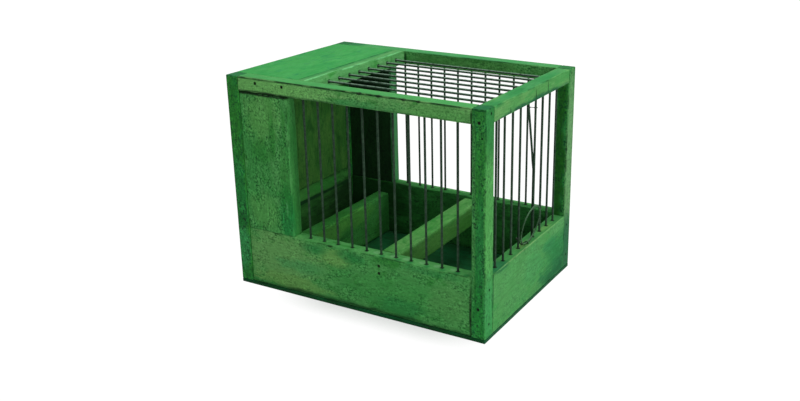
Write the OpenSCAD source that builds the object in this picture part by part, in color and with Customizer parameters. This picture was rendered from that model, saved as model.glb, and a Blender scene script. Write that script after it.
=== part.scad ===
// Small breeding cage for a canary: a nailed softwood frame on a floor sheet,
// solid walls and roof round the nest end, wire bars round the open end, and
// a wire ring for a drinking cup, hinged on the right-hand board.
// Corner-based coordinates: x from the left face, y from the front face, z up.

/* [Cage] */
// Overall width, left to right
cage_w = 260; // [230:1:400]
// Overall depth, front to back
cage_d = 180; // [150:1:300]
// Overall height, from the floor sheet's underside to the posts' tops
cage_h = 201; // [160:1:300]

/* [Floor and posts] */
// Thickness of the floor sheet
floor_t = 3.5; // [2:0.5:8]
// Width of a corner post, left to right
post_w = 13; // [10:0.5:20]
// Depth of a corner post, front to back
post_d = 14; // [10:0.5:20]

/* [Lower boards] */
// Thickness of the lower boards
board_t = 13; // [9:0.5:13]
// Height of the front and right boards
board_h = 54; // [30:1:80]
// Height of the rear board
rear_board_h = 56; // [30:1:80]
// Height of the left board at its outer face
left_board_h = 64; // [35:1:90]
// Set-back of the front board and panel behind the posts' faces
front_set = 1; // [0:0.25:2]

/* [Top rails] */
// Height of the top rails
rail_h = 13; // [10:0.5:20]
// Width of the front end of the cross rail at the solid roof's edge
cross_rail_w = 9.3; // [6:0.1:14]
// Width of the cross rail's rear end
cross_rail_rear_w = 13.5; // [6:0.1:16]

/* [Nest end] */
// Width of the front and rear solid panels, from the post to the open end
panel_w = 52; // [30:1:80]
// Thickness of the front and rear solid panels
panel_t = 12; // [6:0.5:12]
// How far the roof passes the solid panels' edges
roof_over = 4.5; // [0:0.5:10]
// Gap between a solid panel's top and the rail above it
panel_gap = 0.6; // [0:0.1:0.8]
// Thickness of the left wall's panel
left_panel_t = 8; // [5:0.5:11]
// Thickness of the solid roof
roof_t = 12; // [6:0.5:13]
// Distance from the left face to the nest sill
sill_x = 44.5; // [30:0.5:60]
// Thickness of the nest sill
sill_t = 15; // [9:0.5:18]
// Height of the nest sill
sill_h = 43.5; // [20:0.5:60]
// Radius of the rounded edges of the nest sill
sill_round = 2.5; // [1:0.25:5]

/* [Perch] */
// Distance from the left face to the perch
perch_x = 149.5; // [110:1:180]
// Width of the perch
perch_w = 19; // [12:0.5:30]
// Height of the perch's section
perch_h = 23; // [15:0.5:30]
// Radius of the perch's rounded edges
perch_round = 3.5; // [1:0.25:5]
// Step from the boards' tops down to the perch's top
perch_drop = 0; // [0:0.5:5]

/* [Bars] */
// Diameter of a wire bar
bar_d = 2; // [1.6:0.1:3]
// Number of bars in the front wall, and in the rear wall
front_bars = 11; // [6:1:14]
// Distance from even spacing to the front and rear bars' places, towards the nest end
bars_shift = 1; // [0:0.1:3]
// Number of bars in the right wall, and of rods in the roof
side_bars = 9; // [5:1:12]
// Distance from the front and rear faces to their bars
bar_line = 7; // [5:0.5:9]
// Distance from the right face to its bars
side_line = 6; // [5:0.5:8]
// Distance from the posts' tops down to the roof's rods
rod_drop = 6.5; // [4:0.5:9]
// Depth of a bar's end in the wood
bar_grip = 7; // [4:0.5:10]
// Number of the side bar that is sprung out of its foot
loose_bar = 5; // [3:1:5]

/* [Cup ring] */
// Outer diameter of the ring
ring_d = 37.5; // [30:0.5:44]
// Diameter of the ring's wire
ring_wire = 1.4; // [1:0.1:2]
// Lean of the ring outwards from upright, in degrees
ring_lean = 10.5; // [4:1:20]
// Diameter of the staple's wire
staple_wire = 1; // [0.8:0.1:1.4]
// Depth of the staple's legs in the board
staple_leg = 7; // [4:0.5:12]
// Diameter of the hook's wire
hook_wire = 1.2; // [0.8:0.1:1.6]
// Radius of the hook's bend
hook_r = 8.5; // [6:0.5:10]

/* [Sprung bar] */
// Radius of the bends of the bar that is sprung out of its foot
lean_bend_r = 8; // [5:1:12]
// Height on the neighbouring bar at which it comes to lie beside it, from the board
lean_height = 76; // [35:1:100]
// Distance from the rail down to its first bend
lean_start = 1; // [0.5:0.5:4]
// Diameter of the fine tie wire
tie_wire = 0.6; // [0.5:0.1:1]
// Distance from the rail down to the tie wire's middle
tie_drop = 8; // [4:0.5:12]
// Fall of the tie wire from the sprung bar to the next one
tie_fall = 3.5; // [0:0.5:5]

/* [Nails] */
// Diameter of a nail's shank
nail_d = 1.4; // [1:0.1:2]
// Diameter of a nail's head
nail_head_d = 2.4; // [2:0.1:3.5]
// Thickness of a nail's head
nail_head_t = 0.8; // [0.5:0.1:1.2]
// Depth of a nail's head below the wood's face
nail_sink = 0.5; // [0.2:0.1:1]
// Length of a nail, from its head's face
nail_l = 22; // [17:1:26]

/* [Fits] */
// Radial clearance of a wire or nail in its hole
hole_clear = 0.04; // [0.02:0.01:0.1]
// Depth left empty under a wire's or nail's end
end_clear = 0.5; // [0.2:0.1:1]
// Clearance round the ring's wire in its staple
staple_clear = 0.3; // [0.25:0.05:0.5]

/* [Hidden] */
$fn = 48;

// Heights
board_top = floor_t + board_h;
rear_board_top = floor_t + rear_board_h;
left_board_top = floor_t + left_board_h;
rail_z = cage_h - rail_h;
roof_z = cage_h - roof_t;
rod_z = cage_h - rod_drop;

// Plan of the frame
right_post_x = cage_w - post_w;
rear_post_y = cage_d - post_d;
span_x = cage_w - 2*post_w;
span_y = cage_d - 2*post_d;
open_x = post_w + panel_w;
roof_edge_x = open_x + roof_over;
inner_front_y = front_set + board_t;
inner_rear_y = cage_d - front_set - board_t;
inner_span_y = inner_rear_y - inner_front_y;
perch_top = min(board_top, rear_board_top) - perch_drop;

// Rows of bars
front_pitch = (right_post_x - open_x) / (front_bars + 1);
side_pitch = span_y / (side_bars + 1);
side_bar_x = cage_w - side_line;
function front_bar_x(i) = open_x + i*front_pitch - bars_shift;
function side_bar_y(i) = post_d + i*side_pitch;
bar_r = bar_d / 2;
hole_wall = 1;
cross_rail_min = min(cross_rail_w, cross_rail_rear_w);
rod_grip = min(bar_grip, post_w - side_line - bar_r - end_clear - hole_wall, cross_rail_min - 2*hole_wall);
rod_start_x = roof_edge_x + cross_rail_min;
rod_mouth_x = roof_edge_x + max(cross_rail_w, cross_rail_rear_w);

// Sprung bar: two bends joined by a straight run, in the upright plane from its
// own hole to the inner side of the next bar, and a part turn round that bar
beside_gap = 0.05;
lean_in = bar_d + beside_gap;
lean_side = side_pitch;
lean_shift = sqrt(lean_in^2 + lean_side^2);
lean_turn = atan2(lean_side, -lean_in);
lean_top_z = rail_z - lean_start;
lean_low_z = board_top + lean_height;
lean_gap = lean_shift - 2*lean_bend_r;
lean_drop = lean_top_z - lean_low_z;
lean_dist = sqrt(lean_gap^2 + lean_drop^2);
lean_a = atan2(lean_gap, lean_drop) + asin(2*lean_bend_r / lean_dist);
bend_shift = lean_bend_r * (1 - cos(lean_a));
bend_drop = lean_bend_r * sin(lean_a);
wrap_turn = 46;
wrap_drop = 12;
wrap_steps = 4;
foot_gap = 0.3;
bend_steps = 4;
bar_sides = 16;

// Tie wire between the sprung bar and the next one
tie_z = rail_z - tie_drop;
tie_high = tie_z + tie_fall/2;
tie_low = tie_z - tie_fall/2;
tie_gap = 0.2;
tie_turn = 300;
tie_steps = 15;
tie_sides = 8;
tie_loop_r = bar_r + tie_gap + tie_wire/2;
tie_shift = bend_shift + (lean_top_z - bend_drop - tie_high) * tan(lean_a);
tie_a = [side_bar_x + tie_shift*cos(lean_turn), side_bar_y(loose_bar) + tie_shift*sin(lean_turn), tie_high];
tie_b = [side_bar_x, side_bar_y(loose_bar + 1), tie_low];

// Cup ring, its staple and its hook
ring_r = (ring_d - ring_wire) / 2;
leg_wall = 0.5;
ring_off = bar_r + staple_wire/2 + leg_wall;
ring_foot_y = side_bar_y(loose_bar) - ring_off;
bars_gap = 0.5;
ring_foot_x = side_bar_x + bar_r + bars_gap + ring_wire/2;
ring_lift = 0.2;
ring_foot_z = board_top + ring_wire/2 + ring_lift;
staple_r = ring_wire/2 + staple_clear + staple_wire/2;
hook_gap = 0.05;
hook_eye_r = bar_r + hook_gap + hook_wire/2;
hook_z = board_top + hook_gap + hook_wire/2 + hook_r;

// Nails: places on each face
post_mid_x = right_post_x + post_w/2;
rail_nail_low = rail_z + 2;
rail_nail_high = cage_h - 4.5;
board_nail_low = floor_t + board_h*0.22;
board_nail_mid = floor_t + board_h*0.5;
board_nail_high = floor_t + board_h*0.8;
perch_nail_x = perch_x + perch_w/3;
nail_wall = 0.3;
perch_nail_high = perch_top - bar_grip - end_clear - nail_head_d/2 - nail_wall;
perch_nail_low = perch_top - perch_h*0.69;
roof_nail_left = post_w + panel_w*0.38;
roof_nail_right = open_x - 3;
board_mid_y = front_set + board_t/2;
rail_nail_y = post_d * 0.6;
floor_nail_xs = [cage_w*0.3, cage_w*0.7];
floor_nail_ys = [cage_d*0.3, cage_d*0.7];

// Places [x, z, set-back of the face] of the front nails; the rear face mirrors them
front_nails = [
    [post_mid_x, rail_nail_low, 0],
    [post_mid_x, board_nail_mid, 0],
    [roof_nail_left, rail_nail_high, 0],
    [roof_nail_right, rail_nail_high, 0],
    [perch_nail_x, perch_nail_high, front_set],
    [perch_nail_x, perch_nail_low, front_set],
];
// Places [y, z] of the nails in the right face; the left face mirrors them
end_nails = [
    [rail_nail_y, rail_nail_high],
    [board_mid_y, board_nail_high],
    [board_mid_y, board_nail_low],
    [cage_d - rail_nail_y, rail_nail_high],
    [cage_d - board_mid_y, board_nail_high],
    [cage_d - board_mid_y, board_nail_low],
];
// Places [x, y] of the nails driven up through the floor sheet
floor_nails = concat(
    [for (x = floor_nail_xs, y = [board_mid_y, cage_d - board_mid_y]) [x, y]],
    [for (x = [board_t/2, sill_x + sill_t/2, cage_w - board_t/2], y = floor_nail_ys) [x, y]]
);

// Colours of the stained wood and of the wires
top_green = [0.33, 0.62, 0.38];
rail_green = [0.40, 0.58, 0.33];
post_green = [0.20, 0.42, 0.20];
board_green = [0.42, 0.62, 0.38];
inner_green = [0.22, 0.40, 0.18];
floor_green = [0.08, 0.30, 0.20];
perch_green = [0.40, 0.60, 0.36];
bar_grey = [0.33, 0.38, 0.35];
ring_grey = [0.62, 0.66, 0.64];
nail_grey = [0.12, 0.16, 0.12];

frame_nodes = [
    "floor_panel", "front_left_post", "front_right_post", "rear_left_post", "rear_right_post",
    "front_board", "right_board", "rear_board", "left_board",
    "front_top_rail", "right_top_rail", "rear_top_rail", "top_cross_rail",
    "roof_panel", "front_panel", "rear_panel", "left_panel", "nest_sill", "perch",
];
small_nodes = [
    "top_rods", "bar_tie", "cup_ring", "ring_staple", "ring_hook",
    "nails_front", "nails_right", "nails_rear", "nails_left", "nails_floor",
];

// Places corner-based coordinates round the origin, the middle of the floor sheet's underside
module at(p) {
    translate([p[0] - cage_w/2, p[1] - cage_d/2, p[2]]) children();
}

module block(low, high) {
    at(low) cube(high - low);
}

// Hole for a wire's end, open at the mouth: from the mouth at p along direction turn
module wire_hole(p, turn, depth) {
    at(p) rotate(turn)
        translate([0, 0, -depth]) cylinder(h = depth + 1, r = bar_r + hole_clear);
}

// Nail that points along +Z, its head's face nail_sink below the wood's face
module nail_solid() {
    translate([0, 0, nail_sink]) {
        cylinder(h = nail_head_t, d = nail_head_d);
        cylinder(h = nail_l, d = nail_d);
    }
}

module nail_bore() {
    translate([0, 0, -1])
        cylinder(h = 1 + nail_sink + nail_head_t + hole_clear, r = nail_head_d/2 + hole_clear);
    cylinder(h = nail_sink + nail_l + end_clear, r = nail_d/2 + hole_clear);
}

module on_front() {
    for (n = front_nails) at([n[0], n[2], n[1]]) rotate([-90, 0, 0]) children();
}

module on_rear() {
    for (n = front_nails) at([n[0], cage_d - n[2], n[1]]) rotate([90, 0, 0]) children();
}

module on_right() {
    for (n = end_nails) at([cage_w, n[0], n[1]]) rotate([0, -90, 0]) children();
}

module on_left() {
    for (n = end_nails) at([0, n[0], n[1]]) rotate([0, 90, 0]) children();
}

module on_floor() {
    for (n = floor_nails) at([n[0], n[1], 0]) children();
}

module floor_panel() {
    color(floor_green) difference() {
        block([0, 0, 0], [cage_w, cage_d, floor_t]);
        on_floor() nail_bore();
    }
}

// Corner post standing on the floor sheet, drilled from its two outer faces
module post(x, y) {
    color(post_green) difference() {
        block([x, y, floor_t], [x + post_w, y + post_d, cage_h]);
        if (y == 0) on_front() nail_bore();
        if (y > 0) on_rear() nail_bore();
        if (x == 0) on_left() nail_bore();
        if (x > 0) on_right() nail_bore();
    }
}

module front_left_post() {
    post(0, 0);
}

module front_right_post() {
    post(right_post_x, 0);
}

module rear_left_post() {
    post(0, rear_post_y);
}

module rear_right_post() {
    post(right_post_x, rear_post_y);
}

// Holes of the upright bars of the front or rear wall, in the face at height z
module row_holes(y, z, turn) {
    for (i = [1:front_bars]) wire_hole([front_bar_x(i), y, z], turn, bar_grip + end_clear);
}

module side_holes(z, turn) {
    for (i = [1:side_bars]) wire_hole([side_bar_x, side_bar_y(i), z], turn, bar_grip + end_clear);
}

module front_board() {
    color(board_green) difference() {
        block([post_w, front_set, floor_t], [right_post_x, inner_front_y, board_top]);
        row_holes(bar_line, board_top, [0, 0, 0]);
        on_front() nail_bore();
        on_left() nail_bore();
        on_right() nail_bore();
        on_floor() nail_bore();
    }
}

module rear_board() {
    color(board_green) difference() {
        block([post_w, inner_rear_y, floor_t], [right_post_x, cage_d - front_set, rear_board_top]);
        row_holes(cage_d - bar_line, rear_board_top, [0, 0, 0]);
        on_rear() nail_bore();
        on_left() nail_bore();
        on_right() nail_bore();
        on_floor() nail_bore();
    }
}

module right_board() {
    color(board_green) difference() {
        block([cage_w - board_t, post_d, floor_t], [cage_w, rear_post_y, board_top]);
        side_holes(board_top, [0, 0, 0]);
        staple_legs(staple_wire/2 + hole_clear, end_clear);
        on_front() nail_bore();
        on_rear() nail_bore();
        on_floor() nail_bore();
    }
}

// Left board: its inner edge is planed to a slope from the panel's face down
module left_board() {
    color(inner_green) difference() {
        at([0, rear_post_y, 0]) rotate([90, 0, 0]) linear_extrude(span_y) polygon([
            [0, floor_t], [board_t, floor_t], [board_t, board_top],
            [left_panel_t, left_board_top], [0, left_board_top],
        ]);
        on_floor() nail_bore();
    }
}

module front_top_rail() {
    color(rail_green) difference() {
        block([post_w, 0, rail_z], [right_post_x, post_d, cage_h]);
        row_holes(bar_line, rail_z, [180, 0, 0]);
        on_front() nail_bore();
        on_left() nail_bore();
        on_right() nail_bore();
    }
}

module rear_top_rail() {
    color(rail_green) difference() {
        block([post_w, rear_post_y, rail_z], [right_post_x, cage_d, cage_h]);
        row_holes(cage_d - bar_line, rail_z, [180, 0, 0]);
        on_rear() nail_bore();
        on_left() nail_bore();
        on_right() nail_bore();
    }
}

module right_top_rail() {
    color(rail_green) difference() {
        block([right_post_x, post_d, rail_z], [cage_w, rear_post_y, cage_h]);
        side_holes(rail_z, [180, 0, 0]);
        for (i = [1:side_bars])
            wire_hole([right_post_x, side_bar_y(i), rod_z], [0, -90, 0], rod_grip + end_clear);
        on_front() nail_bore();
        on_rear() nail_bore();
    }
}

module top_cross_rail() {
    color(rail_green) difference() {
        at([roof_edge_x, post_d, rail_z]) linear_extrude(rail_h)
            polygon([[0, 0], [cross_rail_w, 0], [cross_rail_rear_w, span_y], [0, span_y]]);
        for (i = [1:side_bars])
            wire_hole([rod_mouth_x, side_bar_y(i), rod_z], [0, 90, 0],
                      rod_mouth_x - rod_start_x + rod_grip + end_clear);
    }
}

module roof_panel() {
    color(top_green) difference() {
        block([0, post_d, roof_z], [roof_edge_x, rear_post_y, cage_h]);
        on_front() nail_bore();
        on_rear() nail_bore();
    }
}

module front_panel() {
    color(post_green)
        block([post_w, front_set, board_top], [open_x, front_set + panel_t, rail_z - panel_gap]);
}

module rear_panel() {
    color(inner_green)
        block([post_w, cage_d - front_set - panel_t, rear_board_top],
              [open_x, cage_d - front_set, rail_z - panel_gap]);
}

module left_panel() {
    color(inner_green)
        block([0, post_d, left_board_top], [left_panel_t, rear_post_y, roof_z]);
}

// Section with rounded corners, from its lower left corner
module round_section(w, h, r) {
    translate([r, 0]) square([w - 2*r, h]);
    translate([0, r]) square([w, h - 2*r]);
    for (x = [r, w - r], y = [r, h - r]) translate([x, y]) circle(r);
}

module nest_sill() {
    color(board_green) difference() {
        at([sill_x, inner_rear_y, floor_t]) rotate([90, 0, 0]) linear_extrude(inner_span_y) {
            square([sill_t, sill_h - sill_round]);
            translate([0, sill_h - 3*sill_round]) round_section(sill_t, 3*sill_round, sill_round);
        }
        on_floor() nail_bore();
    }
}

module perch() {
    color(perch_green) difference() {
        at([perch_x, inner_rear_y, perch_top - perch_h])
            rotate([90, 0, 0]) linear_extrude(inner_span_y)
                round_section(perch_w, perch_h, perch_round);
        on_front() nail_bore();
        on_rear() nail_bore();
    }
}

// Upright wire from its hole at low to its hole in the rail
module upright_bar(x, y, low) {
    color(bar_grey)
        at([x, y, low - bar_grip]) cylinder(h = rail_z - low + 2*bar_grip, d = bar_d);
}

module front_bar(i) {
    upright_bar(front_bar_x(i), bar_line, board_top);
}

module rear_bar(i) {
    upright_bar(front_bar_x(i), cage_d - bar_line, rear_board_top);
}

function unit(v) = v / norm(v);

// Direction of a path at its point i, halfway between those of the runs that meet there
function path_turn(path, i) = let (last = len(path) - 1)
    i == 0 ? unit(path[1] - path[0]) :
    i == last ? unit(path[last] - path[last - 1]) :
    unit(unit(path[i + 1] - path[i]) + unit(path[i] - path[i - 1]));

// Wire swept along a path that lies in or close to one plane, whose normal is side
module swept_wire(path, side, d, sides) {
    last = len(path) - 1;
    points = [for (i = [0:last]) let (across = cross(side, path_turn(path, i)))
        for (k = [0:sides - 1]) let (a = 360*k/sides)
            path[i] + d/2 * (cos(a)*side + sin(a)*across)];
    walls = [for (i = [0:last - 1], k = [0:sides - 1])
        let (a = i*sides + k, b = i*sides + (k + 1) % sides) [a, a + sides, b + sides, b]];
    ends = [[for (k = [0:sides - 1]) k], [for (k = [sides - 1:-1:0]) last*sides + k]];
    polyhedron(points = points, faces = concat(walls, ends));
}

// Bar that is sprung out of its foot: down from the rail's hole, across to the inner side
// of the next bar, and down behind it
module sprung_bar() {
    along = [cos(lean_turn), sin(lean_turn), 0];
    profile = concat(
        [[0, rail_z + bar_grip]],
        [for (i = [0:bend_steps]) let (a = lean_a * i/bend_steps)
            [lean_bend_r*(1 - cos(a)), lean_top_z - lean_bend_r*sin(a)]],
        [for (i = [0:bend_steps]) let (a = lean_a * (1 - i/bend_steps))
            [lean_shift - lean_bend_r*(1 - cos(a)), lean_low_z + lean_bend_r*sin(a)]]
    );
    wrap = [for (i = [1:wrap_steps]) let (a = 180 - wrap_turn*i/wrap_steps)
        [lean_in*cos(a), side_pitch + lean_in*sin(a), lean_low_z - wrap_drop*i/wrap_steps]];
    end = wrap[wrap_steps - 1];
    color(bar_grey) at([side_bar_x, side_bar_y(loose_bar), 0])
        swept_wire(concat([for (q = profile) q[0]*along + [0, 0, q[1]]], wrap,
                          [[end[0], end[1], board_top + foot_gap]]),
                   cross([0, 0, 1], along), bar_d, bar_sides);
}

module side_bar(i) {
    if (i == loose_bar) sprung_bar();
    if (i != loose_bar) upright_bar(side_bar_x, side_bar_y(i), board_top);
}

module top_rods() {
    color(bar_grey) for (i = [1:side_bars])
        at([rod_start_x - rod_grip, side_bar_y(i), rod_z]) rotate([0, 90, 0])
            cylinder(h = right_post_x - rod_start_x + 2*rod_grip, d = bar_d);
}

module wire_ring(r, d) {
    rotate_extrude() translate([r, 0]) circle(d = d);
}

// Fine wire: an open eye round each of the two bars, and a run along their inner sides
module bar_tie() {
    start = atan2(tie_b[1] - tie_a[1], tie_b[0] - tie_a[0]) + 90;
    turns = concat(
        [for (i = [0:tie_steps]) [tie_a, start + tie_turn*(1 - i/tie_steps)]],
        [for (i = [0:tie_steps]) [tie_b, start - tie_turn*i/tie_steps]]
    );
    path = [for (t = turns) [
        t[0][0] + tie_loop_r*cos(t[1]), t[0][1] + tie_loop_r*sin(t[1]), t[0][2],
    ]];
    color(ring_grey) at([0, 0, 0]) swept_wire(path, [0, 0, 1], tie_wire, tie_sides);
}

module cup_ring() {
    color(ring_grey) at([ring_foot_x, ring_foot_y, ring_foot_z]) rotate([0, ring_lean, 0])
        translate([0, 0, ring_r]) rotate([0, 90, 0]) wire_ring(ring_r, ring_wire);
}

module staple_legs(r, extra) {
    for (s = [-1, 1])
        at([ring_foot_x + s*staple_r, ring_foot_y, board_top - staple_leg - extra])
            cylinder(h = staple_leg + extra + ring_foot_z - board_top, r = r);
}

module ring_staple() {
    color(board_green) {
        staple_legs(staple_wire/2, 0);
        at([ring_foot_x, ring_foot_y, ring_foot_z]) rotate([90, 0, 0])
            rotate_extrude(angle = 180) translate([staple_r, 0]) circle(d = staple_wire);
    }
}

// Half an eye on the inner side of the bar before the sprung one, and a quarter bend
// from it down to the board
module ring_hook() {
    color(nail_grey) at([side_bar_x, side_bar_y(loose_bar - 1), hook_z]) {
        rotate([0, 0, 90]) rotate_extrude(angle = 180) translate([hook_eye_r, 0])
            circle(d = hook_wire);
        for (s = [-1, 1]) translate([0, s*hook_eye_r, 0]) sphere(d = hook_wire);
        translate([0, hook_eye_r + hook_r, 0]) rotate([0, -90, 0]) rotate([0, 0, 180])
            rotate_extrude(angle = 90) translate([hook_r, 0]) circle(d = hook_wire);
    }
}

module nails_front() {
    color(nail_grey) on_front() nail_solid();
}

module nails_rear() {
    color(nail_grey) on_rear() nail_solid();
}

module nails_right() {
    color(nail_grey) on_right() nail_solid();
}

module nails_left() {
    color(nail_grey) on_left() nail_solid();
}

module nails_floor() {
    color(nail_grey) on_floor() nail_solid();
}

floor_panel();
front_left_post();
front_right_post();
rear_left_post();
rear_right_post();
front_board();
right_board();
rear_board();
left_board();
front_top_rail();
right_top_rail();
rear_top_rail();
top_cross_rail();
roof_panel();
front_panel();
rear_panel();
left_panel();
nest_sill();
perch();
for (i = [1:front_bars]) {
    front_bar(i);
    rear_bar(i);
}
for (i = [1:side_bars])
    side_bar(i);
top_rods();
bar_tie();
cup_ring();
ring_staple();
ring_hook();
nails_front();
nails_right();
nails_rear();
nails_left();
nails_floor();
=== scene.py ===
import math

import bpy
import numpy as np
from mathutils import Matrix, Vector


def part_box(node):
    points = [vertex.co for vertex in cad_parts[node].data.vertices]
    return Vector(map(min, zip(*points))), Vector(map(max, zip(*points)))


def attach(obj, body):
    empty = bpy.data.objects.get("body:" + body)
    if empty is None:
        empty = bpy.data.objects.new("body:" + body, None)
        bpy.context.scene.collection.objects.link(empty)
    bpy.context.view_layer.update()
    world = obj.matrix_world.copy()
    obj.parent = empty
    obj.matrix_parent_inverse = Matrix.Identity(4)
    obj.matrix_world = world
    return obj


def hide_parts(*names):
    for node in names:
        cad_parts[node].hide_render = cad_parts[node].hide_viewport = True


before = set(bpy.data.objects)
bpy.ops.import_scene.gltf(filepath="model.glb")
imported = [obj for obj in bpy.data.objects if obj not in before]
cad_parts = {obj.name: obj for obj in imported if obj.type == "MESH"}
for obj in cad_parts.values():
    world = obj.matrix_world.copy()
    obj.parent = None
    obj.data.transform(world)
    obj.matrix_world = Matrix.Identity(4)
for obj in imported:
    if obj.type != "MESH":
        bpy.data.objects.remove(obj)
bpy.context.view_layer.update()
MM = 0.001

# Studio ------------------------------------------------------------------------------
# The cage stands on a plain white table under two large soft boxes, seen from its front
# right corner and from above. The camera's place and lens come from the cage's corners.
azimuth, elevation, roll = math.radians(28.09), math.radians(18.96), math.radians(0.11)
camera_place, nearest, farthest = (0.44408, -0.70516, 0.38376), 0.05, 20.0
lens_px, frame_w_px, frame_h_px = 935.0, 800.0, 401.0
centre_px = (470.0, 178.0)
sensor_mm = 36.0

back = Vector((math.sin(azimuth) * math.cos(elevation),
               -math.cos(azimuth) * math.cos(elevation),
               math.sin(elevation)))
camera_data = bpy.data.cameras.new("camera")
camera_data.sensor_width = sensor_mm
camera_data.lens = lens_px / frame_w_px * sensor_mm
camera_data.shift_x = (frame_w_px / 2 - centre_px[0]) / frame_w_px
camera_data.shift_y = (centre_px[1] - frame_h_px / 2) / frame_w_px
camera_data.clip_start, camera_data.clip_end = nearest, farthest
camera = bpy.data.objects.new("camera", camera_data)
bpy.context.scene.collection.objects.link(camera)
turn = (-back).to_track_quat("-Z", "Y").to_matrix() @ Matrix.Rotation(roll, 3, "Z")
camera.matrix_world = Matrix.Translation(camera_place) @ turn.to_4x4()
bpy.context.scene.camera = camera
bpy.context.scene.view_settings.view_transform = "Standard"


def soft_box(name, place, target, size, watts):
    """Square area lamp at place, turned towards target."""
    data = bpy.data.lights.new(name, "AREA")
    data.shape, data.size, data.energy = "SQUARE", size, watts
    lamp = bpy.data.objects.new(name, data)
    bpy.context.scene.collection.objects.link(lamp)
    aim = (Vector(target) - Vector(place)).to_track_quat("-Z", "Y")
    lamp.matrix_world = Matrix.Translation(place) @ aim.to_matrix().to_4x4()


cage_middle = (0.0, 0.0, 0.1)
soft_box("top_box", place=(0.25, 0.15, 1.5), target=cage_middle, size=1.3, watts=16.5)
soft_box("right_box", place=(1.4, -0.6, 0.75), target=cage_middle, size=1.0, watts=10.0)


class Value:
    """A node's output in a material, on which Python's operators add Math nodes."""

    def __init__(self, tree, socket):
        self.tree, self.socket = tree, socket

    def node(self, kind, inputs, output=0, **settings):
        """New node with its settings made first, then its inputs by name or place."""
        made = self.tree.nodes.new(kind)
        for key, setting in settings.items():
            setattr(made, key, setting)
        for key, given in inputs.items():
            if isinstance(given, Value):
                self.tree.links.new(given.socket, made.inputs[key])
            else:
                made.inputs[key].default_value = given
        return Value(self.tree, made.outputs[output])

    def math(self, operation, *others):
        """Math node on this value and the others, in their order."""
        return self.node("ShaderNodeMath", dict(enumerate((self,) + others)), operation=operation)

    def vector(self, operation, *others, output=0):
        """Vector Math node on this vector and the others, in their order."""
        inputs = dict(enumerate((self,) + others))
        return self.node("ShaderNodeVectorMath", inputs, output, operation=operation)

    def scaled(self, factor):
        """This vector or colour times the factor."""
        return self.node("ShaderNodeVectorMath", {0: self, "Scale": factor}, operation="SCALE")

    def parts(self, kind="XYZ"):
        """The three parts of this vector, or of this colour where kind is Color."""
        split = self.node("ShaderNodeSeparate" + kind, {0: self}).socket.node
        return [Value(self.tree, part) for part in split.outputs]

    def __add__(self, other):
        return self.math("ADD", other)

    def __sub__(self, other):
        return self.math("SUBTRACT", other)

    def __rsub__(self, other):
        return (self * -1.0) + other

    def __mul__(self, other):
        return self.math("MULTIPLY", other)

    __radd__, __rmul__ = __add__, __mul__

    def step(self, low, high):
        """Smooth rise from 0 at low to 1 at high."""
        return self.node("ShaderNodeMapRange", {"Value": self, "From Min": low, "From Max": high},
                         interpolation_type="SMOOTHSTEP")

    def mix(self, first, second):
        """Colour that goes from first to second as this value goes from 0 to 1."""
        colours = {0: self}
        for place, given in ((6, first), (7, second)):
            colours[place] = given if isinstance(given, Value) else (*given, 1.0)
        return self.node("ShaderNodeMix", colours, output=2, data_type="RGBA")


def new_material(name):
    """Material with its Principled shader, and Values of its object coordinates and of its
    normal."""
    material = bpy.data.materials.new(name)
    material.use_nodes = True
    tree = material.node_tree
    shader = tree.nodes["Principled BSDF"]
    outputs = tree.nodes.new("ShaderNodeTexCoord").outputs
    return material, shader, Value(tree, outputs["Object"]), Value(tree, outputs["Normal"])


def seen_directly(tree):
    """1 for a ray from the camera or from a glossy face, and 0 for any other."""
    rays = tree.nodes.new("ShaderNodeLightPath").outputs
    return Value(tree, rays["Is Camera Ray"]) + Value(tree, rays["Is Glossy Ray"])


# The table's top is lit as any white table is, but for the camera and for reflections all
# of it is plain white light, apart from a strip before the front wall that keeps part of
# the soft shadow. The strip fades in and out over two ranges, which are measured from the
# wall's left and right ends.
table_size, table_white, table_rough, table_gloss, glow_strength = 8.0, 0.90, 0.9, 0.1, 1.06
strip, strip_glow, left_fade, right_fade = 0.034, 0.55, (0.02, 0.11), (-0.06, 0.02)
table_mesh = bpy.data.meshes.new("table")
half = table_size / 2
table_mesh.from_pydata([(-half, -half, 0), (half, -half, 0), (half, half, 0), (-half, half, 0)],
                       [], [(0, 1, 2, 3)])
table = bpy.data.objects.new("table", table_mesh)
bpy.context.scene.collection.objects.link(table)
table_material, shader, place, _ = new_material("table")
shader.inputs["Base Color"].default_value = (table_white, table_white, table_white, 1)
shader.inputs["Roughness"].default_value = table_rough
shader.inputs["Specular IOR Level"].default_value = table_gloss
tree = table_material.node_tree
seen = seen_directly(tree)
glow = seen.node("ShaderNodeEmission", {"Color": (1, 1, 1, 1), "Strength": glow_strength})
across, before, _ = place.parts()
front_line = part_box("front_left_post")[0][1]
side_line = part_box("front_right_post")[1][0]
near = (before - (front_line - strip)).step(0.0, strip)
near = near * (1 - (before - front_line).step(0.0, strip))
near = near * (across + side_line).step(*left_fade)
near = near * (1 - (across - side_line).step(*right_fade))
share = seen * (1 - near * (1 - strip_glow))
blend = share.node("ShaderNodeMixShader", {0: share, 2: glow})
tree.links.new(shader.outputs[0], blend.socket.node.inputs[1])
tree.links.new(blend.socket, tree.nodes["Material Output"].inputs["Surface"])
table_mesh.materials.append(table_material)

# The world is plain white where it is seen, and lights the cage only a little.
sky_light = 0.10
world = bpy.data.worlds.new("studio")
bpy.context.scene.world = world
world.use_nodes = True
tree = world.node_tree
sky = tree.nodes["Background"]
tree.links.new((seen_directly(tree) * (1 - sky_light) + sky_light).socket, sky.inputs["Strength"])
sky.inputs["Color"].default_value = (1, 1, 1, 1)

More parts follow.
